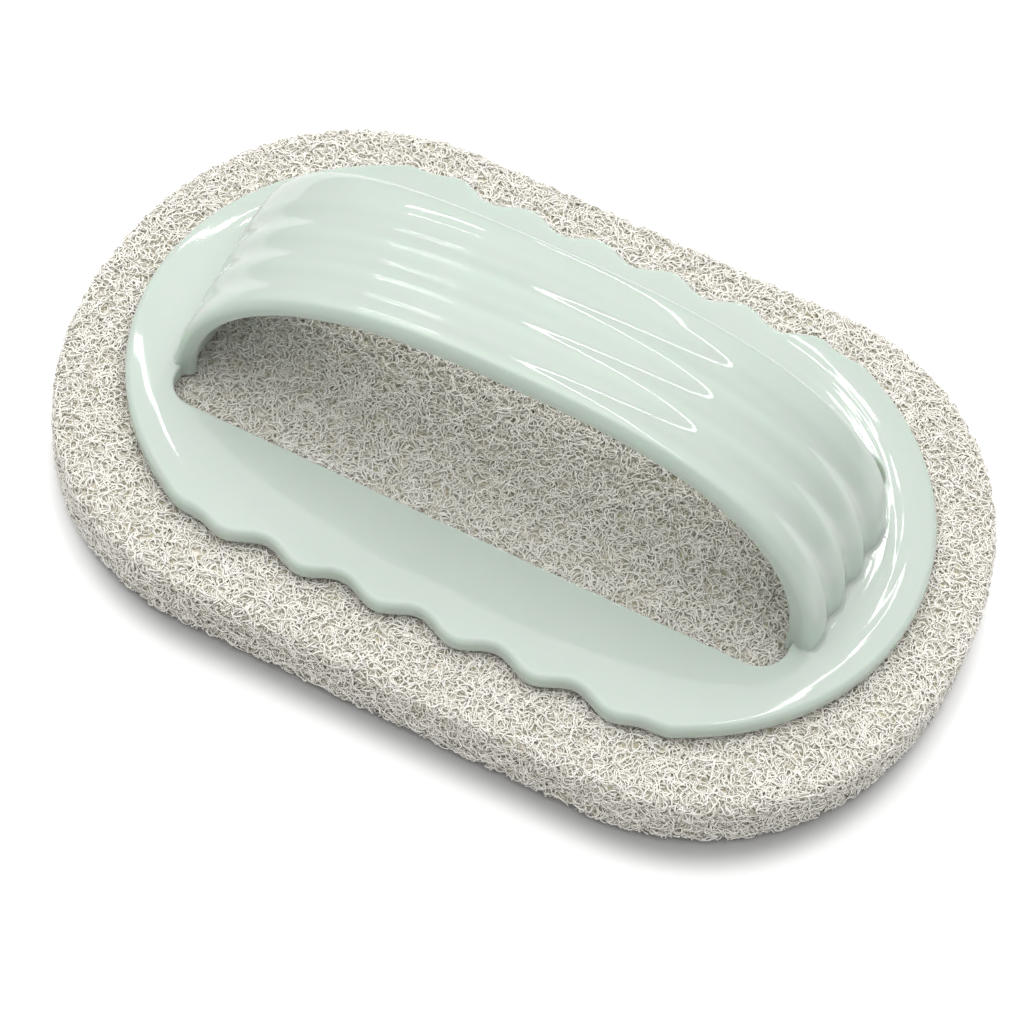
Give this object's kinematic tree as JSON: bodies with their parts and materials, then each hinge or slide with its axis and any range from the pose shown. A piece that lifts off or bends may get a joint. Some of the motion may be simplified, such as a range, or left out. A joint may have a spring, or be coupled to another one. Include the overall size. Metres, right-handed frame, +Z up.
{
  "type": "handled scouring pad",
  "caption": "Long-oval scouring pad of coarse non-woven fibre under a thin glossy plate with wavy sides, with an arched ribbed strap that the fingers go through.",
  "frame": {"origin": "middle of the pad's flat underside, on the surface that the part rests on", "axes": "+X along the pad's length, +Z up and away from the scrubbed surface; the fingers go in along Y, and the strap stands 1.2 mm towards -Y from the middle"},
  "size_m": [0.15, 0.1014, 0.0442],
  "materials": {
    "mint_plastic": "pale mint polypropylene, glossy as moulded, slightly translucent",
    "nonwoven_fibre": "coarse open web of curled light grey synthetic fibre",
    "hot_melt_adhesive": "thin cured film of hot-melt adhesive, hidden between plate and pad"
  },
  "bodies": {
    "root": {"handle_moulding": "mint_plastic", "scouring_pad": "nonwoven_fibre", "adhesive_layer": "hot_melt_adhesive"}
  },
  "joints": []
}
